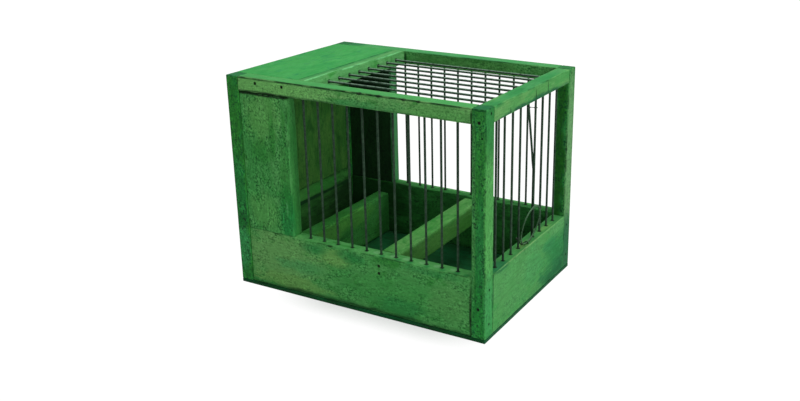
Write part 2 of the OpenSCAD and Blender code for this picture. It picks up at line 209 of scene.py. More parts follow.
# Floor sheet -------------------------------------------------------------------------
# A thin sheet of softwood under the whole cage, nailed up into the boards. Its dark
# stained edge shows as a line below the boards, and its top as the cage's floor.
X, Y, Z = range(3)  # the frame's axes: to the right, to the back and up


def spot(x, y, z):
    """Place measured from the cage's lower front left corner, in the frame's millimetres."""
    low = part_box("floor_panel")[0] / MM
    return (low.x + x, low.y + y, low.z + z)


def nail_holes(wood):
    """Pits (axis, side, centre, radius, depth) over the heads of the nails in a piece's
    outer faces. A nail belongs to the piece whose box its place is in. The ones in the
    cage's left and right faces are half filled with stain."""
    radius, deep, filled, reach = 1.05, 0.9, 0.5, 1.5
    right, rear, _ = (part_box("rear_right_post")[1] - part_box("floor_panel")[0]) / MM
    front = [(253.5, 190), (253.5, 30.5), (32.8, 196.5), (62, 196.5), (155.8, 48.5), (155.8, 41.6)]
    ends = [(8.4, 196.5), (7.5, 46.7), (7.5, 15.4)]
    under = [(78, 7.5), (182, 7.5), (6.5, 54), (52, 54), (253.5, 54)]
    nails = []
    for x, z in front:
        nails += [(Y, -1, (x, 0, z), deep), (Y, 1, (x, rear, z), deep)]
    for end, z in ends:
        for y in (end, rear - end):
            nails += [(X, -1, (0, y, z), filled), (X, 1, (right, y, z), filled)]
    for x, end in under:
        nails += [(Z, -1, (x, y, 0), deep) for y in (end, rear - end)]
    low, high = (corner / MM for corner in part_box(wood))
    nails = [(axis, side, spot(*place), radius, depth) for axis, side, place, depth in nails]
    return [nail for nail in nails
            if all(low[a] - reach < nail[2][a] < high[a] + reach for a in (X, Y, Z))]


def noise(points, size, seed):
    """Smooth random field from 0 to 1: random numbers at the corners of cubes of the given
    size, blended at each point with the smooth-step weights t * t * (3 - 2 * t). A corner's
    number is the fraction of a large sine, whose angle comes from the corner and the seed."""
    corner_primes, seed_prime, keys = (73856093, 19349663, 83492791), 7919, 65521
    sine_rate, sine_height = 12.9898, 43758.5453
    cell = np.floor(points / size).astype(int)
    part = points / size - cell
    part = part * part * (3 - 2 * part)
    field = np.zeros(len(points))
    for corner in np.ndindex(2, 2, 2):
        key = (cell + corner) @ corner_primes + seed * seed_prime
        value = np.sin(key % keys * sine_rate) * sine_height
        weight = np.prod(np.where(corner, part, 1 - part), axis=1)
        field += weight * (value - np.floor(value))
    return field


def grid_lines(low, high, rounding, step, extra):
    """Cuts along one axis: even steps, finer ones over the rounded ends, at rounding *
    tan(angle) for even angles up to 45 degrees, two beside them, and extra ones."""
    bend_cuts, beside, margin, least_gap = 5, np.array([1.0, 2.5]), 1e-9, 0.04
    bend = rounding * np.tan(np.linspace(0, math.pi / 4, bend_cuts))
    even = np.linspace(low + rounding, high - rounding, max(2, int((high - low) / step)))
    wanted = np.concatenate([low + rounding - bend, high - rounding + bend,
                             low + rounding + beside, high - rounding - beside, even, extra])
    wanted = np.unique(wanted[(wanted >= low - margin) & (wanted <= high + margin)])
    keep = np.concatenate([[True], np.diff(wanted) > least_gap])
    keep[-1] = True
    return wanted[keep]


def box_quads(counts):
    """Quads, facing outwards, over the six faces of a box that is cut by so many grid lines
    along each axis. The point on lines i, j and k has the number (i * ny + j) * nz + k."""
    quads = []
    for axis in (X, Y, Z):
        b, c = (axis + 1) % 3, (axis + 2) % 3
        i, j = np.meshgrid(np.arange(counts[b] - 1), np.arange(counts[c] - 1), indexing="ij")
        for end in (0, counts[axis] - 1):
            corners = []
            for di, dj in ((0, 0), (1, 0), (1, 1), (0, 1)):
                line = [None] * 3
                line[axis], line[b], line[c] = np.full_like(i, end), i + di, j + dj
                corners.append((line[X] * counts[Y] + line[Y]) * counts[Z] + line[Z])
            quad = np.stack([corner.ravel() for corner in corners], axis=1)
            quads.append(quad if end else quad[:, ::-1])
    return np.concatenate(quads)


# Grid lines round a pit, in its radii: its bottom, its wall from 0.8 to 1, and its rim.
pit_rings = np.array([0.0, 0.45, 0.8, 0.9, 1.0, 1.3, 1.6])


def press_pits(points, flat, low, high, pits):
    """Presses pits into the points, and returns how much of a pit each point shows. With s
    the square distance max(|x|, |y|) from a pit's centre, squares of grid lines are drawn in
    to circles of radius s, less and less from radius out to rim_end * radius, and the face
    falls by depth * clip((radius - s) / (wall * radius), 0, 1)."""
    rim_end, rim_width, wall, full_depth, tiny = pit_rings[-1], 0.6, 0.2, 0.9, 1e-9
    mark = np.zeros(len(flat))
    for axis, side, centre, radius, depth in pits:
        b, c = (a for a in (X, Y, Z) if a != axis)
        on_face = flat[:, axis] == (high[axis] if side > 0 else low[axis])
        offset = flat[:, [b, c]] - (centre[b], centre[c])
        square = np.abs(offset).max(axis=1)
        shrink = square / np.linalg.norm(offset, axis=1).clip(tiny, None) - 1
        rim = on_face * ((rim_end * radius - square) / (rim_width * radius)).clip(0, 1)
        points[:, [b, c]] += offset * (shrink * rim)[:, None]
        fall = on_face * ((radius - square) / (wall * radius)).clip(0, 1)
        points[:, axis] -= side * depth * fall
        mark = np.maximum(mark, rim * min(1, depth / full_depth))
    return mark


def timber(node, rounding=(0.7, 0.7, 0.7), pits=(), chips=(), step=4.0, warp=None, seed=1):
    """Wooden piece in a CAD node's place, in millimetres. Grid lines cut the box's six faces.
    A point p of the grid goes to inner + rounding * n, where inner is p held inside the box
    less the rounding, and n is (p - inner) / rounding made a unit vector: that rounds the
    arrises. Waves and chips (spot, reach, depth) then take it in along n, a chip by rough *
    depth * (1 - r * r) ** 2, with r the distance from its spot in reaches. Pits (axis, side,
    centre, radius, depth) and the warp come last."""
    swell, swell_size, ripple, ripple_size = 0.10, 23.0, 0.06, 6.0
    chip_cuts, chip_least, chip_range, chip_grain, chip_dark = 7, 0.4, 1.2, 1.1, 0.8
    edge_width, sharp_angle = 2.5, 50
    low, high = (np.array(corner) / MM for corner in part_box(node))
    soft = np.array(rounding, float)
    pits = list(pits) + nail_holes(node)
    chips = [(spot(*place), reach, depth) for place, reach, depth in chips]
    extra = [[], [], []]
    for axis, side, centre, radius, depth in pits:
        for other in {X, Y, Z} - {axis}:
            extra[other] += [centre[other] + s * radius * pit_rings for s in (-1, 1)]
    for centre, reach, depth in chips:
        for axis in (X, Y, Z):
            extra[axis].append(centre[axis] + reach[axis] * np.linspace(-1, 1, chip_cuts))
    lines = [grid_lines(low[a], high[a], soft[a], step, np.concatenate(extra[a] + [[]]))
             for a in (X, Y, Z)]
    nx, ny, nz = (len(line) for line in lines)
    used, faces = np.unique(box_quads((nx, ny, nz)), return_inverse=True)
    cuts = used // (ny * nz), used // nz % ny, used % nz
    flat = np.stack([line[cut] for line, cut in zip(lines, cuts)], axis=1)

    inner = np.clip(flat, low + soft, high - soft)
    out = (flat - inner) / soft
    out /= np.linalg.norm(out, axis=1)[:, None]
    points = inner + out * soft
    wave = swell * noise(flat, swell_size, seed) + ripple * noise(flat, ripple_size, seed + 1)
    chipped = np.zeros(len(flat))
    for centre, reach, depth in chips:
        near = 1 - np.linalg.norm((flat - centre) / reach, axis=1).clip(0, 1) ** 2
        rough = chip_least + chip_range * noise(flat, chip_grain, seed + 2)
        wave += depth * near ** 2 * rough
        chipped = np.maximum(chipped, chip_dark * near)
    points -= out * wave[:, None]
    marked = np.maximum(chipped, press_pits(points, flat, low, high, pits))
    if warp:
        points = warp(points, low, high)

    mesh = bpy.data.meshes.new(node + "_wood")
    mesh.from_pydata(points * MM, [], faces.reshape(-1, 4).tolist())
    mesh.polygons.foreach_set("use_smooth", np.ones(len(mesh.polygons), bool))
    mesh.set_sharp_from_angle(angle=math.radians(sharp_angle))
    from_edge = np.sort(np.minimum(flat - low, high - flat), axis=1)[:, 1]
    edge = (1 - from_edge / edge_width).clip(0, 1)
    colour = np.stack([edge, marked, np.zeros(len(flat)), np.ones(len(flat))], axis=1)
    wear = mesh.attributes.new("wear", "FLOAT_COLOR", "POINT")
    wear.data.foreach_set("color", colour.astype(np.float32).ravel())
    piece = bpy.data.objects.new(node + "_wood", mesh)
    bpy.context.scene.collection.objects.link(piece)
    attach(piece, "cage")
    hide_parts(node)
    return piece


def shade(colour, share):
    """The colour times the share, which may have a part for each of the colour's."""
    return tuple(np.multiply(colour, share).tolist())


def stain(name, grain, light, mid, deep, speckle=0.6, calm=X, blots=(), seed=0.0, end_dark=0.6):
    """Green stain on softwood whose fibres run along the grain axis. Broad clouds drawn out
    along the grain go from a yellowish green where it is worn thin through the middle green
    to teal where it lies thick. Fibres are fine noise stretched along the grain, specks are
    pigment in the pores, in patches, with fewer on top and on the faces that look along the
    calm axis. Blots are soft ellipsoids (spot, reach, colour, strength) where the stain lies
    thicker or thinner, and also painted shade and shadow. Speckle is the strength of the
    specks, and end_dark that of the end grain's darkness. Sizes are in millimetres. In each
    layer, step() has the noise's values where the layer starts and where it is full, and the
    factor is the most it covers."""
    material, shader, place, normal = new_material(name)
    tree = material.node_tree
    place = place.scaled(1 / MM)

    def cloud(size, stretch, detail=3.0, rough=0.55, swirl=0.0):
        """Noise of the given size across the fibres and stretched along them."""
        scales = [1 / size] * 3
        scales[grain] /= stretch
        moved = place.vector("MULTIPLY_ADD", scales, (seed, 2 * seed, seed))
        return place.node("ShaderNodeTexNoise", {"Vector": moved, "Scale": 1.0, "Detail": detail,
                                                 "Roughness": rough, "Distortion": swirl})

    broad = cloud(16.0, 2.6, detail=5.0, rough=0.6, swirl=0.5)
    thick = cloud(11.0, 2.0, detail=5.0, rough=0.65, swirl=0.8)
    streak = cloud(2.2, 14.0, detail=4.0, rough=0.6)
    fibre = cloud(0.8, 14.0, detail=3.0, rough=0.6)
    grit = cloud(1.5, 1.3, detail=2.0, rough=0.7)
    mottle = cloud(2.4, 1.6, detail=4.0, rough=0.7, swirl=0.4)
    patch = cloud(9.0, 1.8, detail=4.0, rough=0.6).step(0.40, 0.60)
    nicks = cloud(5.0, 3.5, detail=4.0)

    # How much of an arris, a pit, an end and a speckled face each point of the wood is.
    top_calm, side_calm = 0.75, 0.55
    edge, pit, _ = place.node("ShaderNodeAttribute", {}, attribute_name="wear").parts("Color")
    facing = normal.parts()
    end = facing[grain].math("ABSOLUTE").step(0.6, 0.9)
    speckled = 1 - facing[Z].step(0.5, 0.9) * top_calm
    speckled = speckled * (1 - facing[calm].math("ABSOLUTE").step(0.5, 0.9) * side_calm)

    # Stain: the three greens, darker streaks, and specks of pigment with black pores.
    dark, pigment = shade(deep, 0.22), shade(deep, (0.4, 0.72, 0.85))
    colour = broad.step(0.40, 0.62).mix(mid, light)
    colour = (thick.step(0.52, 0.68) * 0.85).mix(colour, deep)
    colour = (streak.step(0.45, 0.75) * 0.35).mix(colour, shade(deep, 0.7))
    specks = grit.step(0.46, 0.64) * (patch * 0.75 + 0.25) * speckled * speckle
    colour = specks.mix(colour, pigment)
    pores = grit.step(0.64, 0.74) * patch * speckled * speckle
    colour = (pores * 0.6).mix(colour, dark)

    # Blots, whose edges are as ragged as the clouds, or nearly straight on thin lines.
    thin_reach, thin_ragged = 2.5, 0.35
    cloudy = (grit - 0.5) * 0.7 + (broad - 0.5) * 1.2 + (thick - 0.5) * 1.2 + (streak - 0.5) * 0.6
    for centre, reach, tint, strength in blots:
        length = place.vector("SUBTRACT", spot(*centre)).vector("DIVIDE", reach)
        length = length.vector("LENGTH", output=1)
        ragged = 1.0 if min(reach) > thin_reach else thin_ragged
        inside = 1 - (length + cloudy * ragged).step(0.5, 1.15)
        colour = (inside * strength).mix(colour, tint)

    # Grain over all of it, then dark ends, chafed or grimy arrises, and pits.
    coarse = ((mottle - 0.5) * 1.6 + (grit - 0.5) * 1.5) * (patch * 0.9 + 0.6) * speckled * speckle
    colour = (coarse.step(0.04, 0.55) * 0.5).mix(colour, pigment)
    colour = colour.scaled((fibre - 0.5) * 0.9 + (streak - 0.5) * 0.5 - coarse * 0.9 + 1.02)
    colour = (end * end_dark).mix(colour, shade(deep, 0.55))
    chafed = edge.step(0.35, 1.0) * nicks.step(0.46, 0.62) * (1 - end)
    grimy = edge.step(0.35, 1.0) * (1 - nicks.step(0.38, 0.50))
    colour = (chafed * 0.5).mix(colour, shade(light, 1.25))
    colour = (grimy * 0.7).mix(colour, dark)
    colour = pit.step(0.15, 0.8).mix(colour, shade(dark, 0.6))

    gloss, dullest, patch_polish, bump_strength, bump_depth = 0.2, 0.9, 0.12, 0.6, 0.15
    tree.links.new(colour.socket, shader.inputs["Base Color"])
    shader.inputs["Specular IOR Level"].default_value = gloss
    tree.links.new((dullest - patch * patch_polish).socket, shader.inputs["Roughness"])
    relief = fibre * 0.7 + streak * 0.5 - grit * 0.6
    bump = relief.node("ShaderNodeBump", {"Strength": bump_strength, "Distance": bump_depth * MM,
                                          "Height": relief})
    tree.links.new(bump.socket, shader.inputs["Normal"])
    return material


def finish(piece, material):
    """Gives a piece its material, in place of any it had."""
    piece.data.materials.clear()
    piece.data.materials.append(material)


# Greens of the stain that several pieces share, from worn thin to thick and nearly black.
leaf, emerald, olive = (0.10, 0.40, 0.105), (0.055, 0.34, 0.075), (0.17, 0.42, 0.10)
bottle, teal, night = (0.028, 0.24, 0.032), (0.016, 0.225, 0.05), (0.003, 0.045, 0.009)

floor_sheet = timber("floor_panel", rounding=(0.5, 0.5, 0.5), step=6.0, seed=11)
finish(floor_sheet, stain(
    "floor_stain", X, (0.001, 0.085, 0.022), (0.0007, 0.055, 0.010), (0.0005, 0.035, 0.005),
    seed=3.0, end_dark=0.1, blots=[((260, 90, 1.5), (2, 190, 6), (0.012, 0.115, 0.042), 0.9)]))

# Corner posts ------------------------------------------------------------------------
# Four sawn sticks of softwood, end grain up, that stand on the floor sheet. Nails go
# through them into the ends of the boards and the rails.
post_stains = {
    "front_left_post": ((0.035, 0.25, 0.03), [
        ((6, 0, 150), (9, 9, 70), (0.026, 0.22, 0.026), 0.8),
        ((6, 0, 96), (9, 9, 44), (0.018, 0.22, 0.045), 0.8),
        ((6, 0, 36), (9, 9, 26), (0.040, 0.31, 0.085), 0.95),
        ((6, 0, 8), (9, 9, 10), (0.03, 0.25, 0.045), 0.7),
        ((6, 0, 64), (9, 9, 9), (0.010, 0.15, 0.025), 0.95),
        ((6, 7, 201), (10, 12, 1.5), (0.018, 0.20, 0.075), 0.85)]),
    "front_right_post": ((0.05, 0.30, 0.06), [
        ((254, 0, 110), (9, 3, 170), (0.026, 0.22, 0.03), 0.65),
        ((255, 0, 78), (5, 3, 52), (0.014, 0.195, 0.045), 0.65),
        ((260, 7, 110), (2.5, 12, 86), (0.080, 0.35, 0.08), 0.9),
        ((254, 0, 22), (9, 3, 34), (0.015, 0.215, 0.034), 0.8),
        ((248.6, 0, 115), (2.2, 3, 92), (0.065, 0.26, 0.07), 0.7),
        ((260, 14, 120), (2.6, 1.2, 60), (0.20, 0.48, 0.24), 0.6),
        ((260, 7, 28), (2.5, 12, 36), (0.045, 0.31, 0.08), 0.9),
        ((260, 7, 192), (2.5, 12, 36), (0.024, 0.21, 0.044), 0.9),
        ((252, 7, 201), (10, 10, 1.5), (0.006, 0.15, 0.06), 0.9),
        ((254, 0, 200.4), (8, 1.6, 1.6), (0.003, 0.07, 0.015), 0.9)]),
    "rear_left_post": (bottle, [((6, 173, 201), (10, 12, 1.5), (0.012, 0.15, 0.05), 0.9)]),
    "rear_right_post": ((0.05, 0.28, 0.06), [
        ((260, 173, 100), (2.5, 12, 110), (0.14, 0.34, 0.13), 0.9),
        ((252, 167, 110), (7, 4, 130), (0.010, 0.10, 0.008), 0.95),
        ((253, 173, 201), (8, 9, 1.5), (0.03, 0.22, 0.07), 0.6),
        ((260, 173, 24), (2.5, 20, 40), (0.014, 0.135, 0.048), 0.95)]),
}

# One small old nail hole, given as a pit: (axis, side, centre, radius, depth).
old_holes = {"front_right_post": [(Y, -1, spot(256.2, 0, 177.7), 0.7, 0.75)]}
for number, (name, (tone, blots)) in enumerate(post_stains.items()):
    post = timber(name, pits=old_holes.get(name, ()), seed=20 + number)
    finish(post, stain(
        name + "_stain", Z, tone, bottle, teal, speckle=1.9, seed=10.0 + 7 * number, blots=blots))

# Lower boards ------------------------------------------------------------------------
# Boards on edge between the posts, with a row of blind holes in the top edge for the
# bars' feet. The front one is set back a little behind the posts.
hole_radius, hole_depth = 1.35, 1.2
front_bars, side_bars = 11, 9  # the rear row has as many as the front one


def sockets(row, count, wood, side):
    """Pits where the evenly spaced bars of one row enter the top or the bottom of a piece:
    each lies number / (count - 1) of the way from the row's first bar to its last one."""
    ends = []
    for number in (1, count):
        low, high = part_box("%s_bar_%d" % (row, number))
        ends.append((low + high) / 2 / MM)
    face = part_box(wood)[1 if side > 0 else 0][Z] / MM
    places = [ends[0].lerp(ends[1], number / (count - 1)) for number in range(count)]
    return [(Z, side, (place.x, place.y, face), hole_radius, hole_depth) for place in places]


front_board = timber(
    "front_board", seed=30, chips=[((104, 1, 57), (5.0, 2.0, 2.2), 1.3)],
    pits=sockets("front", front_bars, "front_board", 1))
finish(front_board, stain(
    "front_board_stain", X, leaf, (0.075, 0.36, 0.085), bottle, speckle=0.8, seed=50.0, blots=[
        ((45, 0, 34), (55, 20, 26), (0.16, 0.42, 0.12), 0.8),
        ((108, 0, 46), (20, 9, 9), olive, 0.75), ((62, 0, 12), (46, 9, 8), olive, 0.7),
        ((72, 0, 30), (26, 9, 8), (0.06, 0.35, 0.10), 0.6),
        ((180, 0, 26), (76, 9, 24), (0.045, 0.31, 0.06), 0.55),
        ((88, 0, 50), (15, 9, 5.5), teal, 0.6), ((125, 0, 50), (16, 9, 6), teal, 0.65),
        ((176, 0, 14), (26, 9, 8), teal, 0.55), ((130, 0, 2), (140, 12, 5), night, 0.85),
        # Painted shadow: a near-black line at the board's right end, where it is set back behind
        # the post.
        ((246.1, 1, 26), (1.9, 4, 26), (0.001, 0.02, 0.003), 1.0),
        ((210, 0, 53), (34, 9, 4), teal, 0.5),
        ((225, 0, 30), (22, 9, 22), (0.10, 0.34, 0.09), 0.6)]
    + [((x, 3, 58), (3.5, 4.5, 1.5), teal, 0.7) for x in (158, 174, 186, 203, 218, 232, 241)]
    + [((x, 8, 58), (4.5, 4, 1.5), (0.20, 0.52, 0.21), 0.6)
       for x in (150, 167, 180, 196, 211, 227)]))

right_board = timber("right_board", pits=sockets("side", side_bars, "right_board", 1), seed=31)
finish(right_board, stain(
    "right_board_stain", Y, (0.09, 0.34, 0.09), (0.07, 0.32, 0.08), emerald,
    speckle=0.5, calm=Y, seed=59.0, blots=[
        ((260, 60, 40), (9, 70, 28), (0.078, 0.32, 0.086), 0.7),
        ((260, 96, 34), (9, 24, 20), (0.055, 0.32, 0.092), 0.5),
        ((260, 156, 52), (9, 30, 9), (0.105, 0.38, 0.115), 0.8),
        ((260, 150, 26), (9, 48, 26), (0.024, 0.24, 0.062), 0.6),
        ((260, 160, 26), (9, 32, 22), (0.012, 0.185, 0.05), 0.6),
        ((260, 156, 4), (9, 66, 20), (0.014, 0.17, 0.05), 0.7),
        ((260, 162, 4), (9, 46, 16), (0.007, 0.115, 0.036), 0.75),
        ((260, 130, 42), (9, 17, 7), (0.03, 0.25, 0.075), 0.65),
        ((254, 90, 58), (9, 190, 2), (0.042, 0.25, 0.055), 0.75),
        ((254, 28, 57), (9, 18, 4), (0.012, 0.16, 0.05), 0.9),
        ((254, 82, 57), (4, 12, 3), olive, 0.6), ((255, 130, 57), (4, 16, 3), olive, 0.5),
        ((260, 90, 2.5), (9, 190, 2), (0.008, 0.09, 0.03), 0.8),
        ((260, 14.6, 40), (2.5, 1.3, 34), (0.004, 0.08, 0.02), 0.8),
        ((260, 92, 58), (1.4, 95, 1.4), (0.24, 0.47, 0.17), 0.7)]))

# The rear board's greens are painted shade: dark ones for its inner face, which lies in the cage's
# shade, with a leaf-green blot that gives its rear face the stain's own colour.
rear_board = timber("rear_board", pits=sockets("rear", front_bars, "rear_board", 1), seed=32)
finish(rear_board, stain(
    "rear_board_stain", X, (0.036, 0.24, 0.045), (0.020, 0.16, 0.027), night,
    speckle=0.5, seed=68.0, blots=[
        # Painted shadow: near-black over the inner face's left part, under the nest end.
        ((30, 167, 40), (52, 5, 90), (0.003, 0.040, 0.005), 0.9),
        ((130, 179, 30), (500, 5, 300), leaf, 1.0)]
    + [((x, 179, z), (46, 5, 11), tint, 0.5) for x, z, tint in (
        (45, 44, emerald), (80, 16, bottle), (120, 38, emerald),
        (165, 50, bottle), (195, 20, emerald), (225, 42, emerald))]))


def plane_inner_edge(points, low, high):
    """Lowers the top of the left board towards the inside: flat under the panel that stands
    on it, then sloping down to the inner face. A point sinks by drop * slope * its height
    in the board, where slope goes from 0 at the panel's inner face to 1 at the board's."""
    panel, drop = 8.0, 10.0
    slope = ((points[:, X] - low[X] - panel) / (high[X] - low[X] - panel)).clip(0, 1)
    points[:, Z] -= drop * slope * (points[:, Z] - low[Z]) / (high[Z] - low[Z])
    return points


# The left board's greens are painted shade: dark ones for its inner side, in the cage's shade,
# with a leaf-green blot that gives its outer face the stain's own colour.
left = timber("left_board", seed=36, warp=plane_inner_edge)
finish(left, stain(
    "left_board_stain", Y, (0.035, 0.18, 0.03), (0.018, 0.13, 0.018), (0.010, 0.07, 0.010),
    seed=70.0, blots=[
        ((0, 90, 35), (5, 500, 300), leaf, 1.0), ((0, 60, 44), (5, 40, 13), emerald, 0.6),
        ((0, 130, 22), (5, 46, 13), bottle, 0.5), ((0, 40, 14), (5, 36, 10), emerald, 0.5),
        # Painted shadow: near-black low on the inner face towards the rear.
        ((15, 150, 40), (4, 62, 40), (0.004, 0.03, 0.005), 0.9),
        ((10.5, 60, 63), (5, 110, 9), (0.065, 0.31, 0.055), 0.85),
        ((10.5, 120, 62), (5, 30, 7), bottle, 0.7), ((10.5, 45, 62), (5, 18, 6), leaf, 0.6),
        ((13, 90, 55.6), (1.4, 95, 2.4), night, 1.0)]))

# Nest end ----------------------------------------------------------------------------
# Solid panels with upright grain stand on the boards, and the roof board lies between
# the front and rear rails, its grain from front to back.
front_panel = timber("front_panel", seed=40)
finish(front_panel, stain(
    "front_panel_stain", Z, leaf, (0.06, 0.34, 0.075), bottle, speckle=1.15, seed=80.0, blots=[
        ((38, 0, 168), (22, 9, 26), (0.115, 0.41, 0.09), 0.75),
        ((47, 0, 150), (4, 6, 26), bottle, 0.75), ((38, 0, 134), (15, 6, 12), bottle, 0.6),
        ((34, 0, 76), (18, 8, 20), (0.095, 0.38, 0.085), 0.8),
        ((59, 0, 78), (9, 8, 30), (0.012, 0.25, 0.05), 0.85),
        ((58, 0, 112), (7, 8, 40), bottle, 0.55),
        ((59, 0, 84), (1.6, 3, 9), (0.09, 0.42, 0.13), 0.6),
        ((56.5, 0, 166), (1.1, 3, 15), (0.15, 0.48, 0.13), 0.7),
        ((60.5, 0, 160), (2.4, 3, 22), bottle, 0.6),
        ((66, 9, 120), (2, 9, 110), (0.022, 0.17, 0.028), 0.9),
        ((36, 0, 180), (6, 6, 22), (0.13, 0.43, 0.11), 0.5),
        ((52, 0, 182), (3, 6, 18), (0.13, 0.43, 0.11), 0.5),
        # Painted shadow: a near-black line along the panel's top edge, where the rail above shades
        # it.
        ((45, 0, 187.4), (90, 9, 2.45), (0.0005, 0.006, 0.0007), 1.0)]))
# The rear panel's greens are painted shade: nearly black for its inner face deep under the roof,
# with a leaf-green blot that gives its rear face the stain's own colour, and a mid green on its
# right end.
rear_panel = timber("rear_panel", seed=41)
finish(rear_panel, stain(
    "rear_panel_stain", Z, (0.008, 0.045, 0.010), (0.005, 0.032, 0.007), (0.003, 0.018, 0.005),
    seed=89.0, blots=[
        ((39, 179, 125), (200, 5, 500), leaf, 1.0), ((28, 179, 150), (10, 5, 50), emerald, 0.6),
        ((52, 179, 96), (10, 5, 40), bottle, 0.5), ((22, 179, 80), (9, 5, 30), emerald, 0.5),
        ((58, 179, 165), (7, 5, 30), emerald, 0.5),
        ((65.5, 173, 125), (2.5, 34, 200), (0.055, 0.28, 0.09), 1.0)]))
# The left panel's greens are painted shade: dark ones for its inner face, under the roof, with a
# leaf-green blot that gives its outer face the stain's own colour.
left_panel = timber("left_panel", seed=42)
finish(left_panel, stain(
    "left_panel_stain", Z, (0.08, 0.265, 0.045), (0.042, 0.20, 0.03), (0.018, 0.12, 0.018),
    seed=98.0, blots=[((0, 90, 120), (5, 500, 500), leaf, 1.0)]
    + [((0, y, z), (5, 15, 46), tint, 0.5) for y, z, tint in (
        (30, 140, emerald), (52, 84, bottle), (76, 160, emerald), (98, 100, emerald),
        (122, 138, bottle), (146, 90, emerald), (160, 170, emerald))]))
roof = timber("roof_panel", seed=45)
finish(roof, stain(
    "roof_stain", Y, (0.056, 0.375, 0.083), (0.037, 0.33, 0.071), (0.020, 0.26, 0.078),
    speckle=0.2, seed=120.0, blots=[((69.5, 80, 201), (1.6, 110, 3), (0.012, 0.14, 0.035), 0.9)]))

# Top rails ---------------------------------------------------------------------------
# Square sticks between the posts' tops with blind holes underneath for the bars, and a
# thin batten across at the roof's edge that takes the left ends of the roof's rods.
rods_low, rods_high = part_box("top_rods")
rod_height = (rods_low[Z] + rods_high[Z]) / 2 / MM
side_places = [centre[Y] for _, _, centre, _, _ in sockets("side", side_bars, "right_board", 1)]


def rod_sockets(wood, side):
    """Pits where the roof's rods enter a piece's upright side, in line with the side bars."""
    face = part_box(wood)[1 if side > 0 else 0][X] / MM
    return [(X, side, (face, place, rod_height), hole_radius, hole_depth) for place in side_places]


front_rail = timber(
    "front_top_rail", seed=50,
    chips=[((125.7, 0, 200.6), (3.5, 1.5, 1.8), 1.0), ((152.5, 0, 200.6), (4.5, 1.6, 2.0), 1.1)],
    pits=sockets("front", front_bars, "front_top_rail", -1))
finish(front_rail, stain(
    "front_rail_stain_and_shadow", X, (0.22, 0.56, 0.17), (0.14, 0.46, 0.12), bottle,
    speckle=0.7, seed=140.0, blots=[
        ((50, 0, 195), (64, 3, 9), (0.185, 0.55, 0.14), 0.8),
        ((130, 7, 201), (300, 9, 1.5), (0.048, 0.32, 0.08), 0.85),
        # Painted shade along the rail's lower front arris.
        ((130, 0, 188), (300, 3, 2.0), night, 0.65),
        ((170, 0, 193), (26, 3, 8), (0.045, 0.30, 0.075), 0.35),
        # Painted shadow: near-black on the rail's lower edge over the front panel, the same line
        # as the one on the panel's top.
        ((42, 0, 187.4), (38, 3, 2.4), (0.001, 0.012, 0.002), 1.0),
        ((140, 0, 191), (34, 3, 4), (0.03, 0.29, 0.07), 0.6),
        ((218, 0, 195), (34, 3, 9), (0.10, 0.37, 0.085), 0.7),
        ((130, 0, 201), (300, 1.8, 1.8), night, 0.95),
        ((246.6, 0, 194), (1.2, 3, 7), night, 0.8)]
    + [((x, 0, 200.4), (2.6, 3, 1.6), (0.001, 0.012, 0.002), 1.0) for x in (142, 161, 185, 199)]))
rear_rail = timber("rear_top_rail", seed=51, pits=sockets("rear", front_bars, "rear_top_rail", -1))
finish(rear_rail, stain(
    "rear_rail_stain", X, (0.10, 0.38, 0.10), (0.07, 0.33, 0.075), bottle,
    speckle=0.8, seed=151.0, blots=[
        ((160, 167, 194), (90, 3, 9), (0.06, 0.23, 0.045), 0.6),
        ((165, 167, 200.6), (90, 1.2, 1.2), night, 0.85),
        ((84, 167, 193), (2.2, 3, 10), night, 0.9),
        ((130, 173, 201), (190, 9, 1.5), (0.052, 0.33, 0.105), 0.7),
        ((18, 173, 201), (14, 12, 2), (0.012, 0.15, 0.05), 0.8)]))
right_rail = timber(
    "right_top_rail", seed=52,
    pits=sockets("side", side_bars, "right_top_rail", -1) + rod_sockets("right_top_rail", -1))
finish(right_rail, stain(
    "right_rail_stain", Y, (0.14, 0.38, 0.11), (0.09, 0.34, 0.085), emerald,
    speckle=0.5, seed=162.0, blots=[
        ((254, 90, 201), (9, 100, 1.5), (0.036, 0.27, 0.073), 0.85),
        ((254, 20, 201), (9, 16, 3), teal, 0.8), ((253, 66, 201), (5, 16, 3), teal, 0.6),
        ((255, 128, 201), (6, 20, 3), teal, 0.5), ((260, 150, 197), (3, 24, 5), emerald, 0.6),
        ((260, 90, 187), (3, 100, 5.0), (0.008, 0.12, 0.042), 1.0),
        ((260, 92.6, 190), (1.5, 0.9, 9), night, 0.9),
        ((260, 117.8, 192), (1.5, 0.9, 9), night, 0.9),
        ((260, 42.7, 190), (1.5, 0.8, 4), night, 0.8)]))


def narrow_front_end(points, low, high):
    """Draws the cross rail's right face in towards the front, to its width at that end, and
    its top arris a little more, so that the face leans: a point moves left by its place
    across times width * (1 - front / rear) * (1 - share) and times rise * lean, where share
    goes from 0 at the front to 1 at the rear."""
    front_width, rear_width, lean_height, front_lean, less_lean = 9.3, 13.5, 5, 3.0, 2.2
    width = high[X] - low[X]
    across = (points[:, X] - low[X]) / width
    share = (points[:, Y] - low[Y]) / (high[Y] - low[Y])
    rise = ((points[:, Z] - high[Z]) / lean_height + 1).clip(0, 1)
    points[:, X] -= across * width * (1 - front_width / rear_width) * (1 - share)
    points[:, X] -= across * rise * (front_lean - less_lean * share)
    return points


cross_rail = timber("top_cross_rail", rounding=(0.9, 0.7, 0.9), seed=53, warp=narrow_front_end,
                    pits=rod_sockets("top_cross_rail", 1))
finish(cross_rail, stain(
    "cross_rail_stain", Y, (0.13, 0.40, 0.13), (0.085, 0.335, 0.095), bottle,
    speckle=0.5, seed=173.0, blots=[
        ((71, 90, 201), (3.0, 110, 1.5), (0.025, 0.23, 0.06), 0.7),
        ((76.0, 35, 201), (1.2, 34, 1.2), (0.16, 0.58, 0.21), 1.0),
        ((78.3, 85, 201), (1.2, 34, 1.2), (0.16, 0.58, 0.21), 1.0),
        ((80.6, 135, 201), (1.2, 34, 1.2), (0.16, 0.58, 0.21), 1.0)]))

